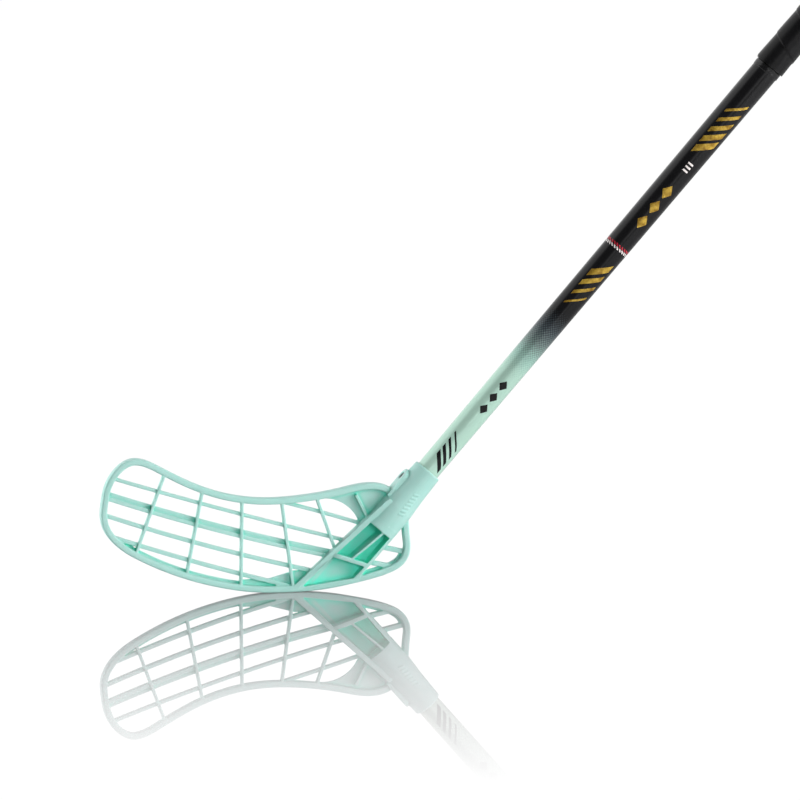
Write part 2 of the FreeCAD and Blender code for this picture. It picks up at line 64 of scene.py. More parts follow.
# Camera, from the photograph
PICTURE_WIDTH = 744 * MM            # width of the picture at the stick
CAMERA_AZIMUTH = -11                # degrees round from the front
CAMERA_ELEVATION = 9
CAMERA_DISTANCE = 32                # far off, for hardly any perspective
CAMERA_CLIP = 2 * CAMERA_DISTANCE
SENSOR_WIDTH = 36
AIM_RIGHT = 68.4 * MM               # picture's middle from where the shaft's axis meets the floor
AIM_UP = 177.1 * MM

# Blade
BLADE_VOXEL = 0.5 * MM
BLADE_SMOOTHING = 3
BLADE_SMOOTHING_FACTOR = 0.5
BLADE_FACE_SHARE = 0.45             # share of the softened mesh's faces that is kept
HOSEL_RADIUS = 15 * MM
BAR_COUNT = 7                       # small raised bars on the hosel
BAR_FIRST_DROP = 23 * MM            # mouth to the first bar
BAR_STEP = 3.8 * MM
BAR_SHARE = 0.5                     # bar's width, as a share of the step
BAR_HALF_LENGTH = 2.8 * MM
BAR_HEIGHT = 0.4 * MM
BAR_SOFTNESS = 0.6 * MM             # width of the bar's sloped edge
BAR_LEAST_RADIUS = 12.5 * MM        # between the hosel's bore and its skin
BAR_SLANT = 0.4
BAR_TURN = math.radians(14)         # from the front, toward the heel

# Screw
SCREW_DROP = 19.4 * MM
SCREW_HEAD_RADIUS = 3.6 * MM
SCREW_HEAD_HEIGHT = 2.6 * MM
SCREW_HEAD_ROUND = 0.5 * MM
SCREW_SHANK_RADIUS = 1.95 * MM
SCREW_HOLE_RADIUS = 2.15 * MM
SCREW_HOLE_SEGMENTS = 48
SCREW_THREAD_DEPTH = 0.45 * MM
SCREW_THREAD_PITCH = 1.4 * MM
SCREW_TIP_LENGTH = 2.2 * MM
SCREW_TIP_SHARE = 0.3               # tip's radius, as a share of the core's
SCREW_SEGMENTS = 64
THREAD_TURN_STEPS = 32
THREAD_RUN_IN = 10                  # steps in which the thread rises under the head
THREAD_RUN_OUT = 24
THREAD_ROOT_SHARE = 1.1             # root's depth, as a share of the thread's, to lie inside the core
THREAD_HALF_SHARE = 0.36            # half of the thread's width, as a share of the pitch
RECESS_LENGTH = 4.4 * MM
RECESS_WIDTH = 1.0 * MM
RECESS_DEPTH = 1.5 * MM
RECESS_MOUTH_SHARE = 1.08           # recess's taper, from above its mouth to its floor
RECESS_FLOOR_SHARE = 0.7

# Shaft
SHAFT_WALL = 1.6 * MM
SHAFT_TIP_RADIUS = 11.2 * MM
SHAFT_LIP = SHAFT_WALL / 4
TAPER_MARGIN = 14 * MM
TAPER_STEPS = 24
LATHE_SEGMENTS = 160

# Grip
GRIP_PITCH = 28 * MM
GRIP_SEAM_START = 0.75              # first seam at the front, in turns above the grip's lower end
GRIP_LEAD_TURNS = 2                 # turns begun below that end, to be cut off there
GRIP_LAP_STEP = 0.6 * MM            # height of the lapped edge
GRIP_LAP_ROUND = 1.2 * MM           # width over which that edge rounds off
GRIP_LAP_POWER = 0.7                # shape of that edge
GRIP_FALL_POWER = 1.4               # shape of the strip's fall behind it
GRIP_TURN_STEPS = 96
GRIP_END_SHARE = 0.6                # end wall's drop, as a share of the lapped edge
GRIP_WELD = 0.002 * MM
STRIP_SHARES = (0.0, 0.012, 0.03, 0.05, 0.07, 0.12, 0.2, 0.32, 0.45, 0.6, 0.75, 0.88, 0.96, 1.0)

# Finishing tape
TAPE_SEGMENTS = 180
TAPE_LEVELS = 14
TAPE_SINK = 0.3 * MM                # middle of the wrinkles below the CAD's surface
TAPE_RISE = 0.1 * MM                # limit of the wrinkles above that surface
TAPE_WRINKLE = 0.07 * MM
TAPE_WAVES = (                      # height, rates round and along the tape, shift
    (1.0, 5, 7, 0.0), (0.7, 11, -13, 1.3), (0.5, 17, 21, 0.0),
)
TAPE_EDGE_RISE = 8                  # wrinkles have their full height from 1 / 8 of the width inward
TAPE_LAP = 0.12 * MM
TAPE_LAP_ANGLES = (0.9, 2.6)        # radians between which the tape lies on its own end

# End cap
CAP_SEGMENTS = 128
CAP_HEAD_ROUND = 2.2 * MM
CAP_LOW_ROUND = 0.6 * MM
CAP_SEAT_GAP = 0.3 * MM
CAP_PLUG_CLEARANCE = 0.12 * MM
CAP_PLUG_WALL = 2.4 * MM
CAP_PLUG_CHAMFER = 1.5 * MM
CAP_RING_COUNT = 3
CAP_RING_STEP = 2.6 * MM
CAP_RING_DEPTH = 0.35 * MM
CAP_RING_FOOT = 0.3 * CAP_RING_STEP     # half widths of a ring
CAP_RING_CREST = 0.15 * CAP_RING_STEP
CAP_DISH_FLOOR = (CAP_RING_COUNT + 0.6) * CAP_RING_STEP     # radii of the dish round the rings
CAP_DISH_RIM = (CAP_RING_COUNT + 0.75) * CAP_RING_STEP
CAP_GROOVE_COUNT = 3
CAP_GROOVE_STEP = 6.5 * MM
CAP_GROOVE_DEPTH = 0.6 * MM
CAP_GROOVE_WIDTH = 2.2 * MM
CAP_GROOVE_FLOOR = (1.6 * MM, 0.6 * MM)     # upper and lower edge of its floor

# Print on the shaft, in distances up from the hosel's mouth
FADE_START = 120 * MM
FADE_END = 188 * MM
FADE_DOT_STEP = 3.2 * MM
FADE_DOT_DEPTH = 9 * MM             # how far the dots carry the fade up and down
FADE_SPECK_DEPTH = 14 * MM
HATCH_RING = 272.5 * MM
HATCH_ROW = 2.6 * MM                # from the ring's middle to the far edge of each row
HATCH_GAP = 0.2 * MM                # and to its near edge
HATCH_STEP = 3.4 * MM
HATCH_SHARE = 0.5
HATCH_SLANT = 0.9
DARK_BARS = dict(
    low=10 * MM, high=44 * MM, step=8.5 * MM, first_share=0.75, last_share=0.2,
    half_width=8 * MM, slant=0.9,
)
DARK_LOZENGES = dict(low=70 * MM, high=112 * MM, step=14 * MM, half_length=5.5 * MM, half_width=5 * MM)
LOW_GOLD_BARS = dict(
    low=208 * MM, high=252 * MM, step=11 * MM, first_share=0.2, last_share=0.75,
    half_width=8.5 * MM, slant=-0.9,
)
GOLD_LOZENGES = dict(low=296 * MM, high=350 * MM, step=18 * MM, half_length=7.5 * MM, half_width=5.5 * MM)
PALE_TICKS = dict(
    low=366 * MM, high=378 * MM, step=4 * MM, first_share=0.45, last_share=0.45,
    half_width=3 * MM, slant=0,
)
HIGH_GOLD_BARS = dict(
    low=392 * MM, high=452 * MM, step=12 * MM, first_share=0.75, last_share=0.2,
    half_width=8.5 * MM, slant=-0.9,
)

# Finishes; a noise's scale counts its patches to the metre
NOISE_SPAN = (0.3, 0.7)             # range of a noise that a roughness is spread over
NOISE_CORE = (0.35, 0.65)           # range that a change of colour is spread over
RISE = (0.0, 1.0)
FALL = (1.0, 0.0)

# Finish of the blade
SUBSURFACE_DEPTH = 3 * MM
SUBSURFACE_RADII = (0.55, 1.0, 0.92)
FLOW_SCALE = 16.0                   # mottling from the plastic's flow
FLOW_HEIGHT = 0.6
MOULD_GRAIN_SCALE = 1500.0
MOULD_GRAIN_DEPTH = 0.06 * MM
BLADE_ROUGHNESS = (0.36, 0.5)
EDGE_WEAR_AND_HIGHLIGHT_POINTINESS = (0.52, 0.62)      # where the blade's edges turn paler: partly stress-whitening, partly a painted highlight
EDGE_WEAR_AND_HIGHLIGHT_SHARE = (0.0, 0.5)
OPENNESS_SAMPLES = 8
STEP_SHADE_REACH = 5 * MM                 # painted shade: beside a step as near as this the green is deeper
STEP_SHADE_OPENNESS = (0.6, 0.95)
HOLLOW_SHADE_REACH = 14 * MM              # painted shade: hollows narrower than this are a deeper, more saturated green
HOLLOW_SHADE_OPENNESS = (0.2, 0.55)
# Painted shade in the pockets below the hosel, set by openness and by place
POCKET_SHADE_OPENNESS = (0.45, 0.95)
POCKET_SHADE_DROP = 55 * MM               # mouth of the hosel to the pockets below it
POCKET_SHADE_HALF_WIDTH = 15 * MM
POCKET_SHADE_FADE = 3 * MM

# Finish of the shaft
SPECK_SCALE = 900.0
FOIL_SCALE = 160.0
FOIL_METAL = 0.55
PEARL_METAL = 0.35
SMEAR_SCALE = 60.0
SMEAR_COARSENESS = 0.65
SHAFT_ROUGHNESS = (0.3, 0.42)
PEEL_SCALE = 420.0
WEAVE_HEIGHT = 0.35
INK_HEIGHT = 0.8
INK_DEPTH = 0.05 * MM
PEEL_DEPTH = 0.05 * MM

# Finish of the grip, tape, cap and screw
PORE_SCALE = 900.0
PORE_DEPTH = 0.12 * MM
GRIP_CLOUD_SCALE = 70.0
GRIP_FINE_SCALE = 2600.0
GRIP_FINE_HEIGHT = 0.5
GRIP_FINE_ROUGHNESS = 0.16
GRIP_ROUGHNESS = (0.18, 0.28)
TAPE_LINE_SCALE = 260.0
TAPE_LINE_SQUEEZE = 6.0             # lines lie closer along the shaft by this
TAPE_LINE_DEPTH = 0.15 * MM
TAPE_ROUGHNESS = (0.12, 0.24)
CAP_GRAIN_SCALE = 1900.0
CAP_GRAIN_DEPTH = 0.08 * MM
CAP_BLOOM_SCALE = 90.0
CAP_ROUGHNESS = (0.52, 0.72)
TURNING_SCALE = 5200.0
TURNING_DEPTH = 0.03 * MM
PLATING_SCALE = 800.0
SCREW_ROUGHNESS = (0.26, 0.44)

# Room and floor
WHITE = (1.0, 1.0, 1.0, 1.0)
ROOM_LEVEL = 0.95
DARK_LEVEL = 0.12
DARK_WAY = (-33, 27)                # azimuth and elevation of a dark screen beside the camera
SOFT_SHADE = (0.15, 0.92)           # cosines off that way between which the room darkens
SHARP_SHADE = (0.70, 0.91)          # the same, as reflections see it
GLOSS_LEVEL = 1.0
CEILING_RANGE = (0.2, 0.8)          # sines of the elevations between which the room dims
CEILING_LEVEL = (1.0, 0.45)
FLOOR_HALF = 5.0
FLOOR_GREY = (0.62, 0.62, 0.62, 1.0)
FLOOR_WHITE = 1.09                  # with the lit share, just over the picture's white
SHADOW_SHARE = 0.1                  # share of the floor that is lit and shaded by the lights
MIRROR_COLOUR = (0.82, 0.64, 0.68, 1.0)
# The room as that mirror sees it, so that its tint leaves the floor's white
MIRROR_ROOM = tuple(FLOOR_WHITE / share for share in MIRROR_COLOUR[:3]) + (1.0,)
MIRROR_REACH = (0.1, 1.1)           # distances from the blade over which the mirror image dies away
MIRROR_SHARE = (0.9, 0.0)
MIRROR_FACING = (0.0, 0.8)          # from a view straight down to a flat one
MIRROR_FACING_SHARE = (0.06, 1.0)


def joint_axis(name):
    """Direction in which a joint slides."""
    return Vector(next(j["axis"] for j in frame["joints"] if j["name"] == name)).normalized()


UP = joint_axis("end_cap_pull")
OUT = joint_axis("screw_withdraw")
DEPTH = Vector((0, 1, 0))
ACROSS = DEPTH.cross(UP).normalized()


def node_points(node):
    """Corners of a node's mesh."""
    return [v.co for v in frame["nodes"][node].data.vertices]


def span(node):
    """Lowest and highest place of a node along the shaft's axis."""
    places = [p.dot(UP) for p in node_points(node)]
    return min(places), max(places)


def reach(node):
    """Largest distance of a node from the shaft's axis."""
    return max((p - UP * p.dot(UP)).length for p in node_points(node))


COLLAR = span("blade")[1]
SHAFT_TIP, SHAFT_END = span("shaft")
SHAFT_TOP_RADIUS = reach("shaft")
GRIP_LOW, GRIP_HIGH = span("grip_wrap")
GRIP_RADIUS = reach("grip_wrap")
TAPE_LOW, TAPE_HIGH = span("grip_finishing_tape")
TAPE_RADIUS = reach("grip_finishing_tape")
CAP_LOW, CAP_HIGH = span("end_cap")
CAP_RADIUS = reach("end_cap")
FLOOR_LEVEL = cad_box[0][2]
SCREW_TOP = max(p.dot(OUT) for p in node_points("blade_screw"))
SCREW_TIP = min(p.dot(OUT) for p in node_points("blade_screw"))


# Meshes

def on_shaft(along, radius, angle):
    """Point round the shaft's axis; angle 0 faces the front and grows toward the heel."""
    return UP * along + ACROSS * (radius * math.sin(angle)) - DEPTH * (radius * math.cos(angle))


def at_screw(level, radius, angle):
    """Point round the screw's axis, at a level outward from the shaft's axis."""
    return (
        UP * (COLLAR - SCREW_DROP + radius * math.cos(angle)) + OUT * level
        + DEPTH * (radius * math.sin(angle))
    )


def link_object(name, mesh):
    """New object in the scene."""
    made = bpy.data.objects.new(name, mesh)
    bpy.context.scene.collection.objects.link(made)
    return made


def make_object(name, mesh, body, node, material, sharp=None):
    """Visible piece on a body, in place of a CAD node; edges over the sharp angle stay crisp."""
    mesh.update()
    mesh.shade_smooth()
    if sharp:
        mesh.set_sharp_from_angle(angle=math.radians(sharp))
    mesh.name = name
    made = link_object(name, mesh)
    made.data.materials.clear()
    made.data.materials.append(material)
    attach(made, body)
    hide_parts(node)
    return made


def mesh_from(name, points, faces):
    """Mesh of given corners and faces."""
    mesh = bpy.data.meshes.new(name)
    mesh.from_pydata([tuple(p) for p in points], [], faces)
    mesh.validate()
    return mesh


def tidy_normals(mesh):
    """Turns all faces outward."""
    work = bmesh.new()
    work.from_mesh(mesh)
    bmesh.ops.recalc_face_normals(work, faces=work.faces)
    work.to_mesh(mesh)
    work.free()


def lathe(name, profile, place, segments=LATHE_SEGMENTS, closed=False):
    """Mesh turned from (radius, along) pairs; place(along, radius, angle) gives a point."""
    points, faces, rings = [], [], []
    for radius, along in profile:
        count = segments if radius > 0 else 1
        rings.append([len(points) + i for i in range(count)])
        points += [place(along, radius, math.tau * i / segments) for i in range(count)]
    pairs = list(zip(rings, rings[1:]))
    if closed:
        pairs.append((rings[-1], rings[0]))
    for low, high in pairs:
        for i in range(segments):
            j = (i + 1) % segments
            corners = [low[i % len(low)], low[j % len(low)], high[j % len(high)], high[i % len(high)]]
            faces.append(tuple(dict.fromkeys(corners)))
    mesh = mesh_from(name, points, faces)
    tidy_normals(mesh)
    return mesh


def arc(centre, radius, first, last, steps):
    """Points of a round corner in a (radius, along) profile, angles in degrees."""
    turns = [math.radians(first + (last - first) * i / steps) for i in range(steps + 1)]
    return [(centre[0] + radius * math.cos(t), centre[1] + radius * math.sin(t)) for t in turns]


def applied(work):
    """Mesh of an object with its modifiers applied; the object itself goes."""
    bpy.context.view_layer.update()
    graph = bpy.context.evaluated_depsgraph_get()
    mesh = bpy.data.meshes.new_from_object(work.evaluated_get(graph))
    bpy.data.objects.remove(work)
    return mesh


def carved(mesh, cutters):
    """Copy of a mesh with the cutters' forms taken out of it."""
    body = link_object("carve_work", mesh)
    tools = [link_object("cutter_work", cutter) for cutter in cutters]
    for tool in tools:
        cut = body.modifiers.new("cut", "BOOLEAN")
        cut.operation = "DIFFERENCE"
        cut.solver = "EXACT"
        cut.object = tool
    result = applied(body)
    for tool in tools:
        bpy.data.objects.remove(tool)
    return result


# Shader nodes

def put(tree, socket, value):
    """Links a socket to another one, or sets its value."""
    if isinstance(value, bpy.types.NodeSocket):
        tree.links.new(value, socket)
    else:
        socket.default_value = value


def node(tree, kind, inputs=None, **settings):
    """New shader node."""
    made = tree.nodes.new(kind)
    for key, value in settings.items():
        setattr(made, key, value)
    for key, value in (inputs or {}).items():
        put(tree, made.inputs[key], value)
    return made


def calc(tree, operation, first, second=0.0, third=0.0):
    """Result of a calculation with values or sockets."""
    made = node(tree, "ShaderNodeMath", {0: first, 1: second, 2: third}, operation=operation)
    return made.outputs[0]


def blend(tree, factor, first, second):
    """Mixed colour; the node keeps its colour sockets behind those for numbers and vectors."""
    made = node(tree, "ShaderNodeMix", data_type="RGBA")
    put(tree, made.inputs[0], factor)
    put(tree, made.inputs[6], first)
    put(tree, made.inputs[7], second)
    return made.outputs[2]


def scale_range(tree, value, low, high, new_low, new_high, smooth=False):
    """Value carried from one range to another, and kept inside it."""
    made = node(tree, "ShaderNodeMapRange", {0: value, 1: low, 2: high, 3: new_low, 4: new_high})
    made.interpolation_type = "SMOOTHSTEP" if smooth else "LINEAR"
    return made.outputs[0]


def place_of(tree):
    """Place on the piece, in the frame's metres."""
    return node(tree, "ShaderNodeTexCoord").outputs["Object"]


def along_axis(tree, place, axis):
    """Distance along a direction."""
    made = node(tree, "ShaderNodeVectorMath", {0: place, 1: tuple(axis)}, operation="DOT_PRODUCT")
    return made.outputs["Value"]


def noise(tree, place, scale, detail=3.0, rough=0.5):
    """Cloudy noise about one half."""
    inputs = {"Vector": place, "Scale": scale, "Detail": detail, "Roughness": rough}
    return node(tree, "ShaderNodeTexNoise", inputs).outputs["Fac"]


def bump(tree, height, strength, distance):
    """Normal of a fine relief."""
    made = node(tree, "ShaderNodeBump", {"Height": height, "Strength": strength, "Distance": distance})
    return made.outputs["Normal"]


def openness(tree, distance):
    """One on open faces, less where the piece itself closes a place in within the distance."""
    made = node(
        tree, "ShaderNodeAmbientOcclusion", {"Distance": distance},
        samples=OPENNESS_SAMPLES, only_local=True,
    )
    return made.outputs["AO"]


def new_material(name, **values):
    """Material with its tree and its shader, whose inputs are set by name."""
    material = bpy.data.materials.new(name)
    material.use_nodes = True
    tree = material.node_tree
    shader = tree.nodes["Principled BSDF"]
    for key, value in values.items():
        shader.inputs[key.replace("_", " ").title().replace("Ior", "IOR")].default_value = value
    return material, tree, shader


def srgb(red, green, blue):
    """Linear colour of a display colour given in 0 to 255."""
    shares = [v / 255 for v in (red, green, blue)]
    return tuple(s / 12.92 if s <= 0.04045 else ((s + 0.055) / 1.055) ** 2.4 for s in shares) + (1.0,)


# Colours
MINT = srgb(166, 206, 199)
MINT_DEEP = srgb(158, 201, 193)
# Lighter edge colour: partly stress-whitening, partly a painted highlight
MINT_EDGE_WEAR_AND_HIGHLIGHT = srgb(196, 224, 219)
# Painted shade: a darker green beside steps
MINT_STEP_SHADE = srgb(120, 196, 180)
# Painted shade: a deeper, more saturated green in hollows and in the pockets below the hosel
MINT_HOLLOW_SHADE = srgb(90, 224, 200)
SHAFT_MINT = srgb(184, 220, 204)
INK = srgb(12, 12, 14)
GOLD = srgb(226, 188, 76)
GOLD_DEEP = srgb(146, 108, 26)
RED = srgb(196, 44, 62)
PALE = srgb(240, 232, 230)
FADE_STOPS = (
    (0.0, SHAFT_MINT), (0.28, srgb(152, 192, 180)), (0.5, srgb(114, 131, 128)),
    (0.72, srgb(66, 75, 80)), (1.0, INK),
)
GRIP_BLACKS = (srgb(8, 8, 9), srgb(15, 15, 17))
TAPE_BLACKS = (srgb(8, 8, 10), srgb(16, 16, 18))
CAP_BLACKS = (srgb(24, 24, 26), srgb(44, 44, 46))
STEEL_GREYS = (srgb(84, 86, 88), srgb(132, 134, 136))


# Patterns

def pocket_shade_share(tree, place):
    """Mask of the painted shade in the pockets below the hosel: one over them, zero elsewhere."""
    aside = calc(tree, "ABSOLUTE", along_axis(tree, place, ACROSS))
    drop = calc(tree, "SUBTRACT", COLLAR, along_axis(tree, place, UP))
    width = scale_range(tree, aside, POCKET_SHADE_HALF_WIDTH - POCKET_SHADE_FADE, POCKET_SHADE_HALF_WIDTH, *FALL, smooth=True)
    below = scale_range(tree, drop, POCKET_SHADE_DROP, POCKET_SHADE_DROP + POCKET_SHADE_FADE, *RISE, smooth=True)
    return calc(tree, "MULTIPLY", width, below)


def in_band(tree, value, low, high):
    """One where the value lies between the limits, zero elsewhere."""
    above = calc(tree, "GREATER_THAN", value, low)
    return calc(tree, "MULTIPLY", above, calc(tree, "LESS_THAN", value, high))


def step_phase(tree, value, low, step):
    """Place within a repeated step, from 0 to 1."""
    return calc(tree, "FRACT", calc(tree, "DIVIDE", calc(tree, "SUBTRACT", value, low), step))


def slanted_bars(tree, along, round_way, low, high, step, first_share, last_share, half_width, slant):
    """Row of slanted bars that grow thinner or thicker up the shaft."""
    leaned = calc(tree, "MULTIPLY_ADD", round_way, slant, along)
    share = scale_range(tree, leaned, low, high, first_share, last_share)
    bar = calc(tree, "LESS_THAN", step_phase(tree, leaned, low, step), share)
    bar = calc(tree, "MULTIPLY", bar, in_band(tree, leaned, low, high))
    return calc(tree, "MULTIPLY", bar, in_band(tree, round_way, -half_width, half_width))


def lozenges(tree, along, round_way, low, high, step, half_length, half_width):
    """Row of lozenges along the shaft."""
    phase = step_phase(tree, along, low, step)
    off = calc(tree, "ABSOLUTE", calc(tree, "MULTIPLY", calc(tree, "SUBTRACT", phase, 0.5), step))
    size = calc(tree, "DIVIDE", off, half_length)
    size = calc(tree, "ADD", size, calc(tree, "DIVIDE", calc(tree, "ABSOLUTE", round_way), half_width))
    return calc(tree, "MULTIPLY", calc(tree, "LESS_THAN", size, 1.0), in_band(tree, along, low, high))


def weave_pattern(tree, along, round_way):
    """Staggered dots of a crossed weave at 45 degrees to the shaft, from -1 to 1."""
    waves = []
    for way in ("ADD", "SUBTRACT"):
        turns = calc(tree, "DIVIDE", calc(tree, way, along, round_way), FADE_DOT_STEP)
        waves.append(calc(tree, "COSINE", calc(tree, "MULTIPLY", turns, math.tau)))
    return calc(tree, "MULTIPLY", calc(tree, "ADD", *waves), 0.5)


def fade_colour(tree, fade):
    """Ground colour of the shaft, from mint through greys to black."""
    ground = node(tree, "ShaderNodeValToRGB", {"Fac": fade})
    elements = ground.color_ramp.elements
    given = len(elements)
    for index, (at, colour) in enumerate(FADE_STOPS):
        stop = elements[index] if index < given else elements.new(at)
        stop.position = at
        stop.color = colour
    return ground.outputs["Color"]


# Materials

def blade_material():
    """Moulded polyethylene: soft sheen, faint flow mottling, fine mould grain, paler edges that are partly
    a painted highlight, and painted shade, a deeper green, in steps, hollows and the pockets below the
    hosel.
    """
    material, tree, shader = new_material(
        "blade_polyethylene", subsurface_weight=0.3, subsurface_scale=SUBSURFACE_DEPTH,
        subsurface_radius=SUBSURFACE_RADII,
    )
    place = place_of(tree)
    flow = noise(tree, place, FLOW_SCALE, detail=4.0)
    grain = noise(tree, place, MOULD_GRAIN_SCALE)
    colour = blend(tree, scale_range(tree, flow, *NOISE_CORE, *RISE), MINT_DEEP, MINT)
    # Lighter edges: partly stress-whitening, partly a painted highlight
    edge = node(tree, "ShaderNodeNewGeometry").outputs["Pointiness"]
    paler = scale_range(tree, edge, *EDGE_WEAR_AND_HIGHLIGHT_POINTINESS, *EDGE_WEAR_AND_HIGHLIGHT_SHARE, smooth=True)
    colour = blend(tree, paler, colour, MINT_EDGE_WEAR_AND_HIGHLIGHT)
    # Painted shade: a darker green where a step closes the surface in nearby
    near = openness(tree, STEP_SHADE_REACH)
    colour = blend(tree, scale_range(tree, near, *STEP_SHADE_OPENNESS, *FALL), colour, MINT_STEP_SHADE)
    # Painted shade: a deeper green in hollows
    deep = openness(tree, HOLLOW_SHADE_REACH)
    colour = blend(tree, scale_range(tree, deep, *HOLLOW_SHADE_OPENNESS, *FALL), colour, MINT_HOLLOW_SHADE)
    # Painted shade: a deeper green in the pockets below the hosel
    pocket_closed_in_shade = scale_range(tree, deep, *POCKET_SHADE_OPENNESS, *FALL)
    colour = blend(tree, calc(tree, "MULTIPLY", pocket_shade_share(tree, place), pocket_closed_in_shade), colour, MINT_HOLLOW_SHADE)
    put(tree, shader.inputs["Base Color"], colour)
    put(tree, shader.inputs["Roughness"], scale_range(tree, grain, *NOISE_SPAN, *BLADE_ROUGHNESS))
    height = calc(tree, "ADD", calc(tree, "MULTIPLY", flow, FLOW_HEIGHT), grain)
    put(tree, shader.inputs["Normal"], bump(tree, height, strength=0.25, distance=MOULD_GRAIN_DEPTH))
    return material


def shaft_material():
    """Composite tube: mint that fades through its weave into black, print under a clear coat."""
    material, tree, shader = new_material(
        "shaft_composite_print", coat_weight=0.75, coat_roughness=0.13, coat_ior=1.45,
        specular_ior_level=0.1,
    )
    place = place_of(tree)
    along = calc(tree, "SUBTRACT", along_axis(tree, place, UP), COLLAR)
    angle = calc(tree, "ARCTAN2", along_axis(tree, place, ACROSS), along_axis(tree, place, -DEPTH))
    round_way = calc(tree, "MULTIPLY", angle, SHAFT_TOP_RADIUS)
    half_turn = calc(tree, "FLOORED_MODULO", calc(tree, "ADD", angle, math.pi / 2), math.pi)
    half_turn = calc(tree, "SUBTRACT", half_turn, math.pi / 2)
    two_sided = calc(tree, "MULTIPLY", half_turn, SHAFT_TOP_RADIUS)

    weave = weave_pattern(tree, along, round_way)
    speck = noise(tree, place, SPECK_SCALE, detail=2.0)
    drift = calc(tree, "MULTIPLY_ADD", weave, FADE_DOT_DEPTH, along)
    drift = calc(tree, "MULTIPLY_ADD", calc(tree, "SUBTRACT", speck, 0.5), FADE_SPECK_DEPTH, drift)
    fade = scale_range(tree, drift, FADE_START, FADE_END, *RISE)
    colour = fade_colour(tree, fade)

    dark = slanted_bars(tree, along, two_sided, **DARK_BARS)
    dark = calc(tree, "MAXIMUM", dark, lozenges(tree, along, two_sided, **DARK_LOZENGES))
    colour = blend(tree, dark, colour, INK)

    gold = slanted_bars(tree, along, two_sided, **LOW_GOLD_BARS)
    gold = calc(tree, "MAXIMUM", gold, lozenges(tree, along, two_sided, **GOLD_LOZENGES))
    gold = calc(tree, "MAXIMUM", gold, slanted_bars(tree, along, two_sided, **HIGH_GOLD_BARS))
    shine = scale_range(tree, noise(tree, place, FOIL_SCALE, detail=4.0), *NOISE_CORE, *RISE)
    colour = blend(tree, gold, colour, blend(tree, shine, GOLD_DEEP, GOLD))

    hatch = calc(tree, "MULTIPLY_ADD", along, HATCH_SLANT, round_way)
    hatch = calc(tree, "FRACT", calc(tree, "DIVIDE", hatch, HATCH_STEP))
    hatch = calc(tree, "LESS_THAN", hatch, HATCH_SHARE)
    low_row = in_band(tree, along, HATCH_RING - HATCH_ROW, HATCH_RING - HATCH_GAP)
    high_row = in_band(tree, along, HATCH_RING + HATCH_GAP, HATCH_RING + HATCH_ROW)
    colour = blend(tree, calc(tree, "MULTIPLY", hatch, low_row), colour, PALE)
    colour = blend(tree, calc(tree, "MULTIPLY", hatch, high_row), colour, RED)
    colour = blend(tree, slanted_bars(tree, along, two_sided, **PALE_TICKS), colour, PALE)
    put(tree, shader.inputs["Base Color"], colour)

    pearl = calc(tree, "MULTIPLY", calc(tree, "SUBTRACT", 1.0, fade), calc(tree, "SUBTRACT", 1.0, dark))
    metal = calc(tree, "MULTIPLY_ADD", pearl, PEARL_METAL, calc(tree, "MULTIPLY", gold, FOIL_METAL))
    put(tree, shader.inputs["Metallic"], metal)
    smear = noise(tree, place, SMEAR_SCALE, detail=5.0, rough=SMEAR_COARSENESS)
    put(tree, shader.inputs["Roughness"], scale_range(tree, smear, *NOISE_SPAN, *SHAFT_ROUGHNESS))
    inked = calc(tree, "MULTIPLY", calc(tree, "MAXIMUM", dark, gold), INK_HEIGHT)
    height = calc(tree, "ADD", calc(tree, "MULTIPLY", weave, WEAVE_HEIGHT), inked)
    put(tree, shader.inputs["Normal"], bump(tree, height, strength=0.2, distance=INK_DEPTH))
    peel = noise(tree, place, PEEL_SCALE, detail=2.0)
    put(tree, shader.inputs["Coat Normal"], bump(tree, peel, strength=0.12, distance=PEEL_DEPTH))
    return material


def grip_material():
    """Soft black wrap with fine pores and a dull sheen."""
    material, tree, shader = new_material("grip_soft_wrap", specular_ior_level=0.3)
    place = place_of(tree)
    cells = node(tree, "ShaderNodeTexVoronoi", {"Vector": place, "Scale": PORE_SCALE}).outputs["Distance"]
    cloud = noise(tree, place, GRIP_CLOUD_SCALE, detail=4.0)
    fine = noise(tree, place, GRIP_FINE_SCALE, detail=2.0)
    put(tree, shader.inputs["Base Color"], blend(tree, cloud, *GRIP_BLACKS))
    rough = scale_range(tree, cloud, *NOISE_SPAN, *GRIP_ROUGHNESS)
    put(tree, shader.inputs["Roughness"], calc(tree, "MULTIPLY_ADD", fine, GRIP_FINE_ROUGHNESS, rough))
    height = calc(tree, "ADD", cells, calc(tree, "MULTIPLY", fine, GRIP_FINE_HEIGHT))
    put(tree, shader.inputs["Normal"], bump(tree, height, strength=0.3, distance=PORE_DEPTH))
    return material


def tape_material():
    """Thin glossy film, with lines where it was stretched round the shaft."""
    material, tree, shader = new_material("tape_film_black", specular_ior_level=0.55)
    place = place_of(tree)
    along = calc(tree, "MULTIPLY", along_axis(tree, place, UP), TAPE_LINE_SQUEEZE)
    aside = along_axis(tree, place, ACROSS)
    squeezed = node(tree, "ShaderNodeCombineXYZ", {0: along, 1: aside, 2: along_axis(tree, place, DEPTH)})
    lines = noise(tree, squeezed.outputs[0], TAPE_LINE_SCALE)
    put(tree, shader.inputs["Base Color"], blend(tree, lines, *TAPE_BLACKS))
    put(tree, shader.inputs["Roughness"], scale_range(tree, lines, *NOISE_SPAN, *TAPE_ROUGHNESS))
    put(tree, shader.inputs["Normal"], bump(tree, lines, strength=0.4, distance=TAPE_LINE_DEPTH))
    return material


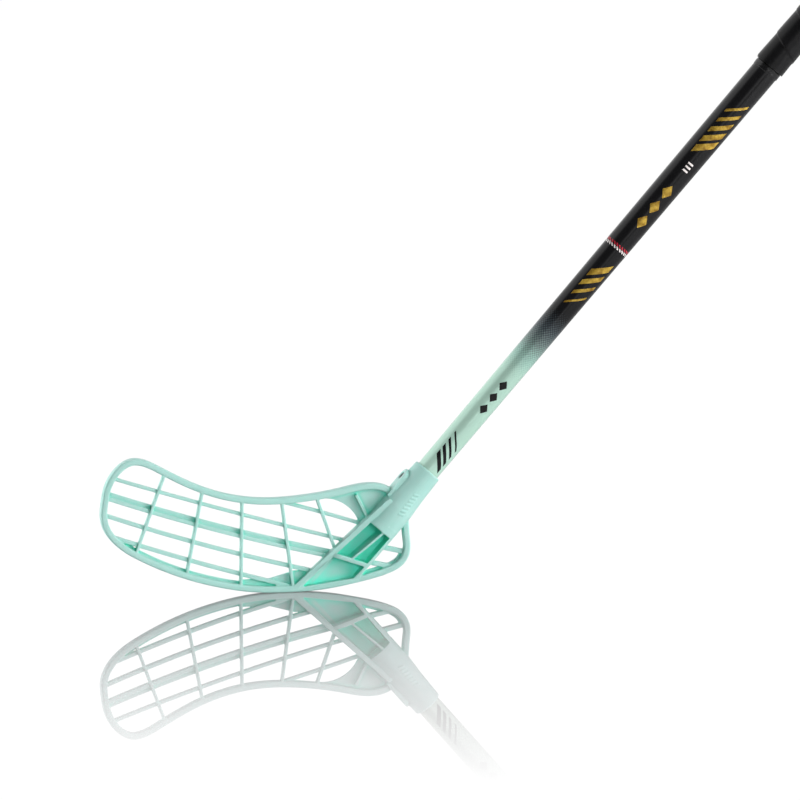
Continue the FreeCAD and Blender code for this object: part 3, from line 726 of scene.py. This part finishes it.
def cap_material():
    """Moulded rubber, dull, with a fine eroded grain."""
    material, tree, shader = new_material("cap_rubber_black")
    place = place_of(tree)
    grain = noise(tree, place, CAP_GRAIN_SCALE)
    bloom = noise(tree, place, CAP_BLOOM_SCALE, detail=4.0)
    put(tree, shader.inputs["Base Color"], blend(tree, bloom, *CAP_BLACKS))
    put(tree, shader.inputs["Roughness"], scale_range(tree, grain, *NOISE_SPAN, *CAP_ROUGHNESS))
    put(tree, shader.inputs["Normal"], bump(tree, grain, strength=0.35, distance=CAP_GRAIN_DEPTH))
    return material


def screw_material():
    """Dark plated steel with turning marks."""
    material, tree, shader = new_material("screw_plated_steel", metallic=1.0)
    place = place_of(tree)
    level = node(tree, "ShaderNodeCombineXYZ", {0: along_axis(tree, place, OUT)})
    marks = noise(tree, level.outputs[0], TURNING_SCALE, detail=2.0)
    cloud = noise(tree, place, PLATING_SCALE)
    put(tree, shader.inputs["Base Color"], blend(tree, cloud, *STEEL_GREYS))
    put(tree, shader.inputs["Roughness"], scale_range(tree, marks, *NOISE_SPAN, *SCREW_ROUGHNESS))
    put(tree, shader.inputs["Normal"], bump(tree, marks, strength=0.25, distance=TURNING_DEPTH))
    return material


# Blade

def raise_bars(mesh):
    """Lifts a row of small slanted bars out of the front of the hosel."""
    last = BAR_FIRST_DROP + BAR_STEP * BAR_COUNT
    half_width = BAR_STEP * BAR_SHARE / 2
    for vertex in mesh.vertices:
        drop = COLLAR - vertex.co.dot(UP)
        if not BAR_FIRST_DROP - BAR_STEP < drop < last + BAR_STEP:
            continue
        outward = ACROSS * vertex.co.dot(ACROSS) + DEPTH * vertex.co.dot(DEPTH)
        round_way = (math.atan2(outward.dot(ACROSS), -outward.dot(DEPTH)) - BAR_TURN) * HOSEL_RADIUS
        leaned = drop + round_way * BAR_SLANT
        if outward.length < BAR_LEAST_RADIUS or not BAR_FIRST_DROP < leaned < last:
            continue
        off = abs((leaned - BAR_FIRST_DROP) % BAR_STEP - BAR_STEP / 2)
        inside = min(half_width - off, BAR_HALF_LENGTH - abs(round_way))
        lift = min(max(inside / BAR_SOFTNESS + 0.5, 0.0), 1.0)
        vertex.co += outward.normalized() * (BAR_HEIGHT * lift)


def make_blade(material):
    """Blade moulding: the CAD form with softened edges and small bars raised on its hosel."""
    source = frame["nodes"]["blade"]
    work = link_object("blade_work", source.data.copy())
    remesh = work.modifiers.new("remesh", "REMESH")
    remesh.mode = "VOXEL"
    remesh.voxel_size = BLADE_VOXEL * 1
    smooth = work.modifiers.new("smooth", "SMOOTH")
    smooth.factor = BLADE_SMOOTHING_FACTOR
    smooth.iterations = BLADE_SMOOTHING
    mesh = applied(work)
    raise_bars(mesh)
    work = link_object("blade_work", mesh)
    thin = work.modifiers.new("thin", "DECIMATE")
    thin.ratio = BLADE_FACE_SHARE
    return make_object("blade_skin", applied(work), "stick", "blade", material)


# Screw

def recess_block(length, width):
    """Tapered block that cuts one slot of the crossed recess."""
    points = []
    mouth, floor = SCREW_TOP + RECESS_DEPTH / 2, SCREW_TOP - RECESS_DEPTH
    for level, share in ((mouth, RECESS_MOUTH_SHARE), (floor, RECESS_FLOOR_SHARE)):
        for one, two in ((-1, -1), (1, -1), (1, 1), (-1, 1)):
            along = COLLAR - SCREW_DROP + one * share * length / 2
            points.append(UP * along + OUT * level + DEPTH * (two * share * width / 2))
    faces = [(0, 1, 2, 3), (7, 6, 5, 4), (0, 4, 5, 1), (1, 5, 6, 2), (2, 6, 7, 3), (3, 7, 4, 0)]
    mesh = mesh_from("recess_work", points, faces)
    tidy_normals(mesh)
    return mesh


def thread_mesh(seat):
    """Helical thread that runs out over the tip."""
    turns = (seat - SCREW_TIP - SCREW_TIP_LENGTH) / SCREW_THREAD_PITCH
    steps = int(turns * THREAD_TURN_STEPS)
    root = SCREW_SHANK_RADIUS - SCREW_THREAD_DEPTH * THREAD_ROOT_SHARE
    half = SCREW_THREAD_PITCH * THREAD_HALF_SHARE
    points, faces = [], []
    for i in range(steps + 1):
        angle = math.tau * i / THREAD_TURN_STEPS
        level = seat - SCREW_THREAD_PITCH * (i / THREAD_TURN_STEPS)
        ease = min(1.0, i / THREAD_RUN_IN, (steps - i) / THREAD_RUN_OUT)
        crest = SCREW_SHANK_RADIUS - SCREW_THREAD_DEPTH * (1 - ease)
        for shift, radius in ((half, root), (0, crest), (-half, root)):
            points.append(at_screw(level + shift, radius, angle))
    for i in range(steps):
        a = i * 3
        faces += [(a, a + 1, a + 4, a + 3), (a + 1, a + 2, a + 5, a + 4)]
    return mesh_from("thread_work", points, faces)


def make_screw(material):
    """Screw with a rounded head, a crossed recess and a helical thread."""
    seat = SCREW_TOP - SCREW_HEAD_HEIGHT
    core = SCREW_SHANK_RADIUS - SCREW_THREAD_DEPTH
    corner = (SCREW_HEAD_RADIUS - SCREW_HEAD_ROUND, SCREW_TOP - SCREW_HEAD_ROUND)
    profile = [(0, SCREW_TOP)] + arc(corner, SCREW_HEAD_ROUND, first=90, last=0, steps=6)
    profile += [(SCREW_HEAD_RADIUS, seat), (core, seat), (core, SCREW_TIP + SCREW_TIP_LENGTH)]
    profile += [(core * SCREW_TIP_SHARE, SCREW_TIP), (0, SCREW_TIP)]
    slots = [recess_block(RECESS_LENGTH, RECESS_WIDTH), recess_block(RECESS_WIDTH, RECESS_LENGTH)]
    mesh = carved(lathe("screw_work", profile, at_screw, SCREW_SEGMENTS), slots)
    joined = bmesh.new()
    joined.from_mesh(mesh)
    joined.from_mesh(thread_mesh(seat))
    joined.to_mesh(mesh)
    joined.free()
    return make_object("screw_skin", mesh, "screw", "blade_screw", material, sharp=35)


# Shaft, grip, tape and cap

def make_shaft(material):
    """Tapered tube, finely turned, with the screw's hole in its wall."""
    taper_end = GRIP_LOW - TAPER_MARGIN
    tip, top = SHAFT_TIP_RADIUS, SHAFT_TOP_RADIUS
    profile = [(tip - SHAFT_LIP, SHAFT_TIP), (tip, SHAFT_TIP + SHAFT_LIP), (tip, COLLAR)]
    for i in range(1, TAPER_STEPS + 1):
        share = i / TAPER_STEPS
        profile.append((tip + (top - tip) * share, COLLAR + (taper_end - COLLAR) * share))
    profile += [(top, SHAFT_END - SHAFT_LIP), (top - SHAFT_LIP, SHAFT_END)]
    profile += [(top - SHAFT_WALL, SHAFT_END), (top - SHAFT_WALL, taper_end)]
    profile += [(tip - SHAFT_WALL, COLLAR), (tip - SHAFT_WALL, SHAFT_TIP)]
    drill = [(0, 0), (SCREW_HOLE_RADIUS, 0), (SCREW_HOLE_RADIUS, 2 * tip), (0, 2 * tip)]
    hole = lathe("drill_work", drill, at_screw, SCREW_HOLE_SEGMENTS)
    mesh = carved(lathe("shaft_work", profile, on_shaft, closed=True), [hole])
    return make_object("shaft_skin", mesh, "stick", "shaft", material, sharp=40)


def lap_height(share):
    """Height of the lapped strip over its own width, one at the edge that lies on top."""
    width = GRIP_LAP_ROUND / GRIP_PITCH
    if share < width:
        return math.sin(share / width * math.pi / 2) ** GRIP_LAP_POWER
    fall = (share - width) / (1 - width)
    return 1 - fall ** GRIP_FALL_POWER


def add_end_wall(work, level):
    """Flat ring that closes one end of the wrap down to the shaft."""
    inner, outer = [], []
    for i in range(GRIP_TURN_STEPS):
        angle = math.tau * i / GRIP_TURN_STEPS
        inner.append(work.verts.new(on_shaft(level, SHAFT_TOP_RADIUS, angle)))
        outer.append(work.verts.new(on_shaft(level, GRIP_RADIUS - GRIP_LAP_STEP * GRIP_END_SHARE, angle)))
    for i in range(GRIP_TURN_STEPS):
        j = (i + 1) % GRIP_TURN_STEPS
        work.faces.new((inner[i], inner[j], outer[j], outer[i]))


def make_grip(material):
    """Wound strip whose turns lap over each other."""
    turns = (GRIP_HIGH - GRIP_LOW) / GRIP_PITCH
    first = -GRIP_LEAD_TURNS * GRIP_TURN_STEPS
    last = int(turns * GRIP_TURN_STEPS) + 1
    points, faces, rows = [], [], []
    for i in range(first, last + 1):
        angle = -math.tau * i / GRIP_TURN_STEPS
        low = GRIP_LOW + GRIP_PITCH * (i / GRIP_TURN_STEPS + GRIP_SEAM_START)
        rows.append([len(points) + k for k in range(len(STRIP_SHARES))])
        for share in STRIP_SHARES:
            radius = GRIP_RADIUS - GRIP_LAP_STEP * (1 - lap_height(share))
            points.append((low + GRIP_PITCH * share, radius, angle))
    for one, two in zip(rows, rows[1:]):
        for k in range(len(STRIP_SHARES) - 1):
            face = (one[k], one[k + 1], two[k + 1], two[k])
            places = [points[i][0] for i in face]
            if max(places) > GRIP_LOW and min(places) < GRIP_HIGH:
                faces.append(face)
    placed = [
        on_shaft(min(max(along, GRIP_LOW), GRIP_HIGH), radius, angle)
        for along, radius, angle in points
    ]
    mesh = mesh_from("grip_work", placed, faces)
    work = bmesh.new()
    work.from_mesh(mesh)
    bmesh.ops.remove_doubles(work, verts=work.verts, dist=GRIP_WELD)
    bmesh.ops.delete(work, geom=[v for v in work.verts if not v.link_faces], context="VERTS")
    for level in (GRIP_LOW, GRIP_HIGH):
        add_end_wall(work, level)
    bmesh.ops.recalc_face_normals(work, faces=work.faces)
    work.to_mesh(mesh)
    work.free()
    return make_object("grip_skin", mesh, "stick", "grip_wrap", material, sharp=50)


def make_tape(material):
    """Finishing tape: a thin band, wrinkled and lapped over its own end."""
    points, faces = [], []
    for k in range(TAPE_LEVELS + 1):
        share = k / TAPE_LEVELS
        edge = min(1.0, min(share, 1 - share) * TAPE_EDGE_RISE)
        along = TAPE_LOW + (TAPE_HIGH - TAPE_LOW) * share
        for i in range(TAPE_SEGMENTS):
            angle = math.tau * i / TAPE_SEGMENTS
            wave = sum(h * math.sin(a * angle + b * share + shift) for h, a, b, shift in TAPE_WAVES)
            lap = TAPE_LAP if TAPE_LAP_ANGLES[0] < angle < TAPE_LAP_ANGLES[1] else 0
            radius = TAPE_RADIUS - TAPE_SINK + TAPE_WRINKLE * wave * edge + lap
            radius = min(radius, TAPE_RADIUS + TAPE_RISE)
            if k in (0, TAPE_LEVELS):
                radius = SHAFT_TOP_RADIUS
            points.append(on_shaft(along, radius, angle))
    for k in range(TAPE_LEVELS):
        low, high = k * TAPE_SEGMENTS, (k + 1) * TAPE_SEGMENTS
        for i in range(TAPE_SEGMENTS):
            j = (i + 1) % TAPE_SEGMENTS
            faces.append((low + i, low + j, high + j, high + i))
    mesh = mesh_from("tape_work", points, faces)
    tidy_normals(mesh)
    return make_object("tape_skin", mesh, "stick", "grip_finishing_tape", material, sharp=60)


def make_cap(material):
    """End cap: a rounded head with shallow rings and a grooved hollow plug."""
    seat = SHAFT_END + CAP_SEAT_GAP
    plug = SHAFT_TOP_RADIUS - SHAFT_WALL - CAP_PLUG_CLEARANCE
    inside = plug - CAP_PLUG_WALL
    dish = CAP_HIGH - CAP_RING_DEPTH
    profile = [(0, dish)]
    for index in range(1, CAP_RING_COUNT + 1):
        ring = CAP_RING_STEP * index
        profile += [(ring - CAP_RING_FOOT, dish), (ring - CAP_RING_CREST, CAP_HIGH)]
        profile += [(ring + CAP_RING_CREST, CAP_HIGH), (ring + CAP_RING_FOOT, dish)]
    profile += [(CAP_DISH_FLOOR, dish), (CAP_DISH_RIM, CAP_HIGH)]
    high_corner = (CAP_RADIUS - CAP_HEAD_ROUND, CAP_HIGH - CAP_HEAD_ROUND)
    profile += arc(high_corner, CAP_HEAD_ROUND, first=90, last=0, steps=10)
    low_corner = (CAP_RADIUS - CAP_LOW_ROUND, seat + CAP_LOW_ROUND)
    profile += arc(low_corner, CAP_LOW_ROUND, first=0, last=-90, steps=5)
    profile += [(plug, seat)]
    groove = plug - CAP_GROOVE_DEPTH
    for index in range(1, CAP_GROOVE_COUNT + 1):
        level = seat - CAP_GROOVE_STEP * index
        profile += [(plug, level + CAP_GROOVE_WIDTH)]
        profile += [(groove, level + edge) for edge in CAP_GROOVE_FLOOR]
        profile += [(plug, level)]
    profile += [(plug, CAP_LOW + CAP_PLUG_CHAMFER), (plug - CAP_PLUG_CHAMFER, CAP_LOW)]
    profile += [(inside, CAP_LOW), (inside, seat), (0, seat)]
    mesh = lathe("cap_work", profile, on_shaft, CAP_SEGMENTS)
    return make_object("cap_skin", mesh, "cap", "end_cap", material, sharp=32)


make_blade(blade_material())
make_screw(screw_material())
make_shaft(shaft_material())
make_grip(grip_material())
make_tape(tape_material())
make_cap(cap_material())


# Camera, floor and light

def way_to(azimuth, elevation):
    """Direction from the stick, in degrees round from the front and up from the floor."""
    a, e = math.radians(azimuth), math.radians(elevation)
    return Vector((math.sin(a) * math.cos(e), -math.cos(a) * math.cos(e), math.sin(e)))


TO_CAMERA = way_to(CAMERA_AZIMUTH, CAMERA_ELEVATION)
RIGHT = way_to(CAMERA_AZIMUTH + 90, 0)
PICTURE_UP = TO_CAMERA.cross(RIGHT)
AXIS_FLOOR = UP * (FLOOR_LEVEL / UP.z)
STICK_MIDDLE = AXIS_FLOOR + PICTURE_UP * AIM_UP
BLADE_MIDDLE = sum(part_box("blade"), Vector()) / 2


def make_camera():
    """Camera with a long lens, in the direction of the photograph's."""
    camera = link_object("camera", bpy.data.cameras.new("camera"))
    aim = AXIS_FLOOR + RIGHT * AIM_RIGHT + PICTURE_UP * AIM_UP
    camera.location = aim + TO_CAMERA * CAMERA_DISTANCE
    camera.rotation_euler = (-TO_CAMERA).to_track_quat("-Z", "Y").to_euler()
    camera.data.sensor_width = SENSOR_WIDTH
    camera.data.lens = SENSOR_WIDTH * CAMERA_DISTANCE / PICTURE_WIDTH
    camera.data.clip_end = CAMERA_CLIP
    bpy.context.scene.camera = camera


def make_floor():
    """Pale floor, plain white to the camera, with a mirror image that dies away from the blade."""
    low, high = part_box("blade")
    middle = (low + high) / 2
    corners = [
        (middle.x + a * FLOOR_HALF, middle.y + b * FLOOR_HALF, FLOOR_LEVEL)
        for a, b in ((-1, -1), (1, -1), (1, 1), (-1, 1))
    ]
    floor = link_object("floor", mesh_from("floor", corners, [(0, 1, 2, 3)]))
    material = bpy.data.materials.new("floor_white")
    material.use_nodes = True
    tree = material.node_tree
    tree.nodes.clear()
    blade_foot = (middle.x, 0.0, FLOOR_LEVEL)
    away = node(tree, "ShaderNodeVectorMath", {0: place_of(tree), 1: blade_foot}, operation="DISTANCE")
    fade = scale_range(tree, away.outputs["Value"], *MIRROR_REACH, *MIRROR_SHARE)
    facing = node(tree, "ShaderNodeLayerWeight", {"Blend": 0.5}).outputs["Facing"]
    fade = calc(tree, "MULTIPLY", fade, scale_range(tree, facing, *MIRROR_FACING, *MIRROR_FACING_SHARE))
    mirror = node(tree, "ShaderNodeBsdfGlossy", {"Color": MIRROR_COLOUR, "Roughness": 0.0})
    white = node(tree, "ShaderNodeEmission", {"Color": WHITE, "Strength": FLOOR_WHITE})
    seen = node(tree, "ShaderNodeMixShader", {0: fade, 1: white.outputs[0], 2: mirror.outputs[0]})
    matt = node(tree, "ShaderNodeBsdfDiffuse", {"Color": FLOOR_GREY})
    camera_ray = node(tree, "ShaderNodeLightPath").outputs["Is Camera Ray"]
    seen_share = calc(tree, "MULTIPLY", camera_ray, 1 - SHADOW_SHARE)
    both = node(tree, "ShaderNodeMixShader", {0: seen_share, 1: matt.outputs[0], 2: seen.outputs[0]})
    out = node(tree, "ShaderNodeOutputMaterial")
    tree.links.new(both.outputs[0], out.inputs["Surface"])
    floor.data.materials.append(material)


def make_world():
    """White room with a dark side; the camera and the floor's mirror see it plain white."""
    world = bpy.data.worlds.new("studio")
    bpy.context.scene.world = world
    world.use_nodes = True
    tree = world.node_tree
    tree.nodes.clear()
    way = node(tree, "ShaderNodeTexCoord").outputs["Generated"]
    path = node(tree, "ShaderNodeLightPath")
    facing = along_axis(tree, way, way_to(*DARK_WAY))
    soft = scale_range(tree, facing, *SOFT_SHADE, ROOM_LEVEL, DARK_LEVEL, smooth=True)
    over = along_axis(tree, way, Vector((0, 0, 1)))
    ceiling = scale_range(tree, over, *CEILING_RANGE, *CEILING_LEVEL, smooth=True)
    soft = calc(tree, "MULTIPLY", soft, ceiling)
    sharp = scale_range(tree, facing, *SHARP_SHADE, GLOSS_LEVEL, DARK_LEVEL, smooth=True)
    glossy = path.outputs["Is Glossy Ray"]
    level = calc(tree, "MULTIPLY_ADD", calc(tree, "SUBTRACT", sharp, soft), glossy, soft)
    level = calc(tree, "MAXIMUM", level, path.outputs["Is Camera Ray"])
    mirrored = path.outputs["Is Singular Ray"]
    level = calc(tree, "MAXIMUM", level, mirrored)
    colour = blend(tree, mirrored, WHITE, MIRROR_ROOM)
    back = node(tree, "ShaderNodeBackground", {"Color": colour, "Strength": level})
    out = node(tree, "ShaderNodeOutputWorld")
    tree.links.new(back.outputs[0], out.inputs["Surface"])


def make_light(name, way, distance, size, power, aim, spread=180):
    """Soft rectangular light; a spread under 180 degrees narrows its beam."""
    light = bpy.data.lights.new(name, "AREA")
    light.shape = "RECTANGLE"
    light.size, light.size_y = size
    light.energy = power
    light.spread = math.radians(spread)
    lamp = link_object(name, light)
    lamp.location = aim + way.normalized() * distance
    lamp.rotation_euler = (-way).to_track_quat("-Z", "Y").to_euler()
    lamp.visible_camera = False
    lamp.visible_glossy = False


make_camera()
make_floor()
make_world()
make_light(
    "key_left", way=PICTURE_UP * 0.15 - RIGHT - TO_CAMERA * 0.1, distance=2.0, size=(1.4, 1.8), power=62,
    aim=STICK_MIDDLE,
)
make_light(
    "fill_right", way=RIGHT + TO_CAMERA * 0.35, distance=2.4, size=(1.4, 1.8), power=84,
    aim=STICK_MIDDLE,
)
make_light(
    "fill_blade", way=TO_CAMERA + RIGHT * 0.35, distance=1.2, size=(0.3, 0.3), power=0.21,
    aim=BLADE_MIDDLE, spread=30,
)
bpy.context.scene.view_settings.view_transform = "Standard"
